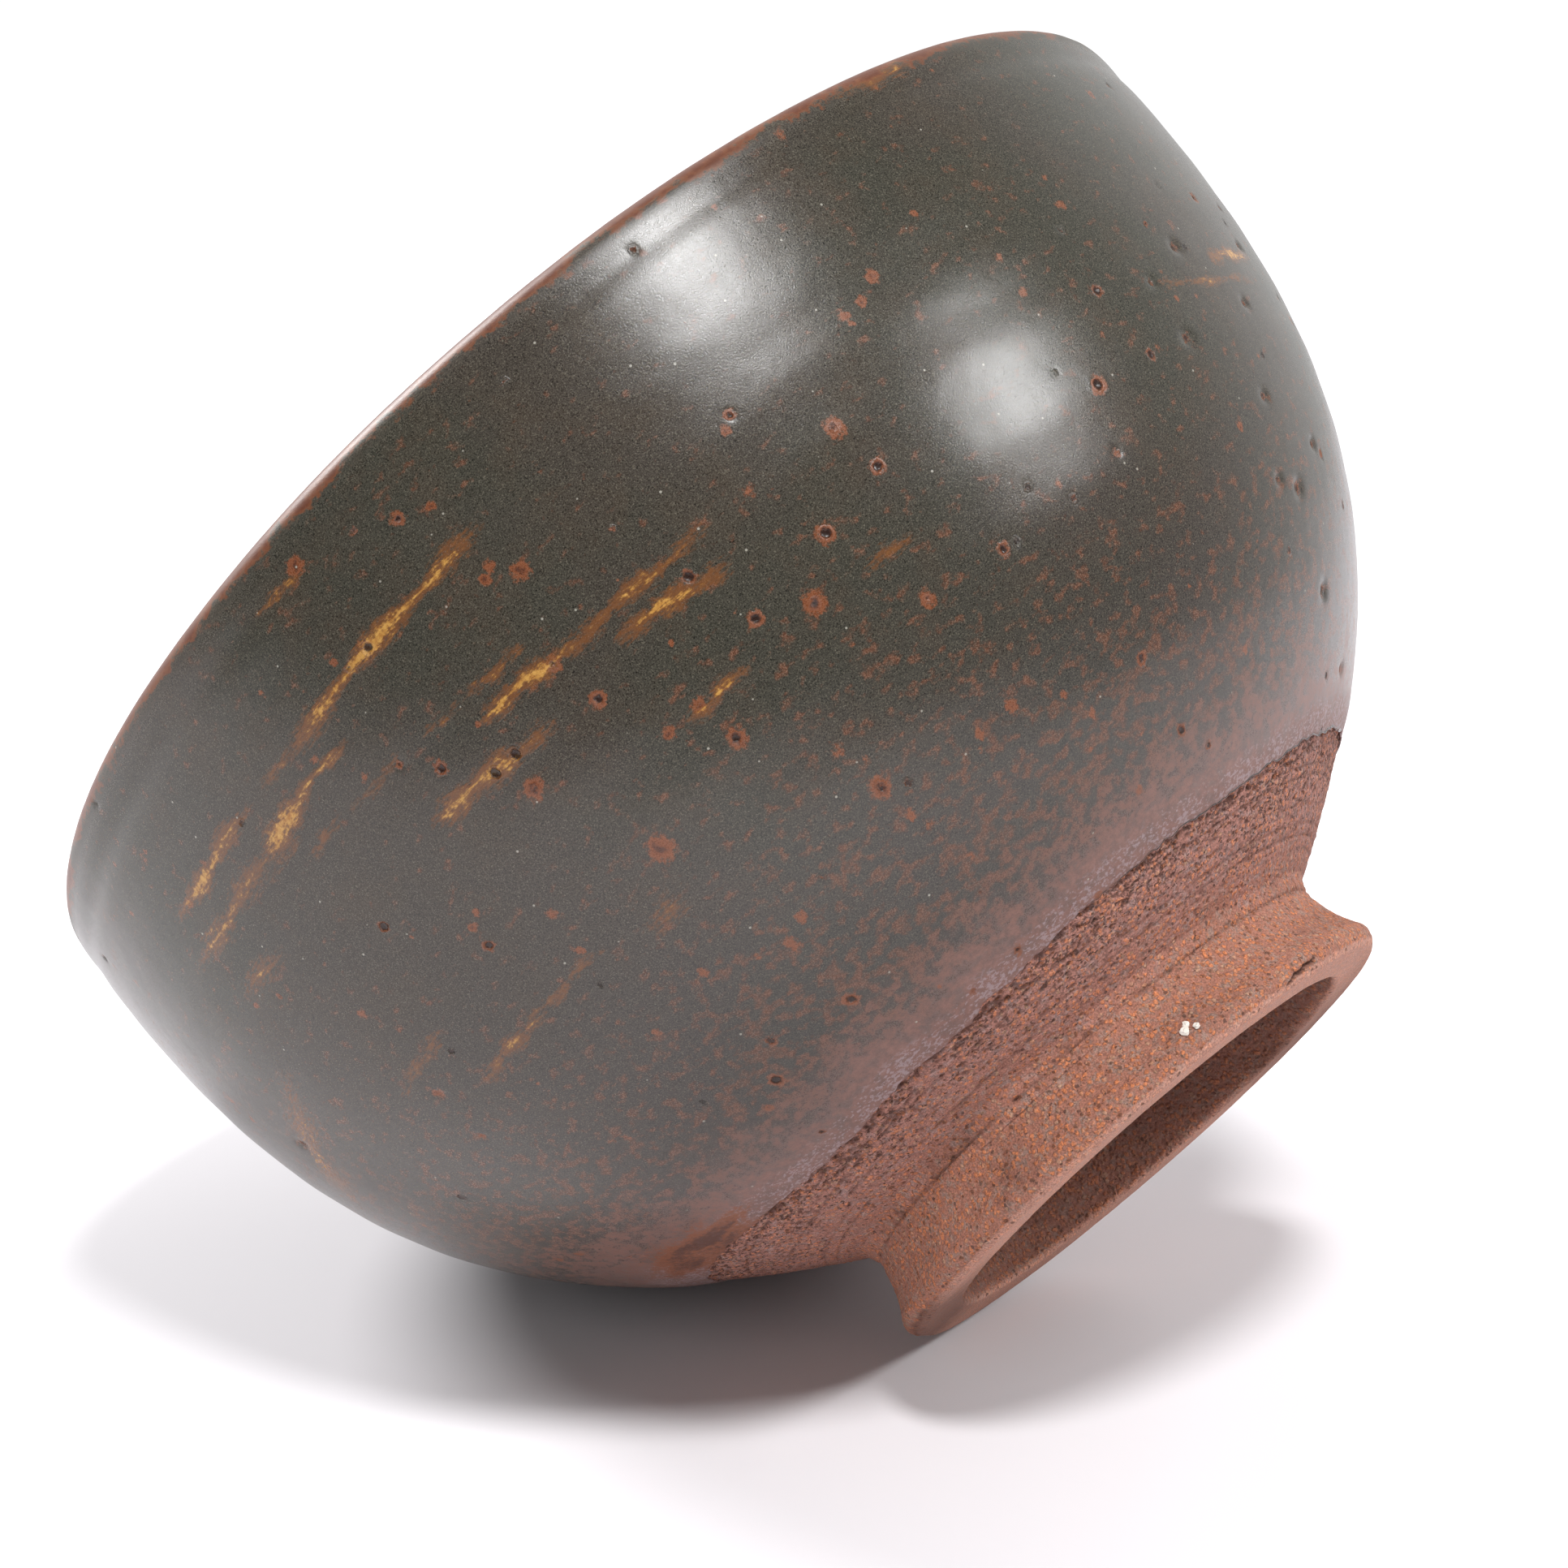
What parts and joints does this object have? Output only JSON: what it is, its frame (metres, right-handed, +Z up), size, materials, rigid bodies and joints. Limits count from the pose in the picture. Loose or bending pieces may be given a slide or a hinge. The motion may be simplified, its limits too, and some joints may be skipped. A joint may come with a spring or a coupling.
{
  "type": "matcha bowl",
  "caption": "Round thrown stoneware tea bowl with a rounded wall, iron glaze over the lip and a flared unglazed foot ring.",
  "frame": {"origin": "centre of the foot ring's sole, on the surface that the bowl stands on", "axes": "+Z up along the bowl's axis, from the foot to the mouth"},
  "size_m": [0.1222, 0.1222, 0.076],
  "materials": {
    "stoneware": "bare, iron-red, gritty",
    "clay_slip": "bare, iron-red, smeared",
    "tenmoku_glaze": "satin iron glaze, olive black, breaking rust at edges",
    "feldspar": "melted white grain"
  },
  "bodies": {
    "root": {"thrown_body": "stoneware", "foot_ring": "stoneware", "foot_slip": "clay_slip", "outer_glaze": "tenmoku_glaze", "inner_glaze": "tenmoku_glaze", "feldspar_grains": "feldspar"}
  },
  "joints": []
}
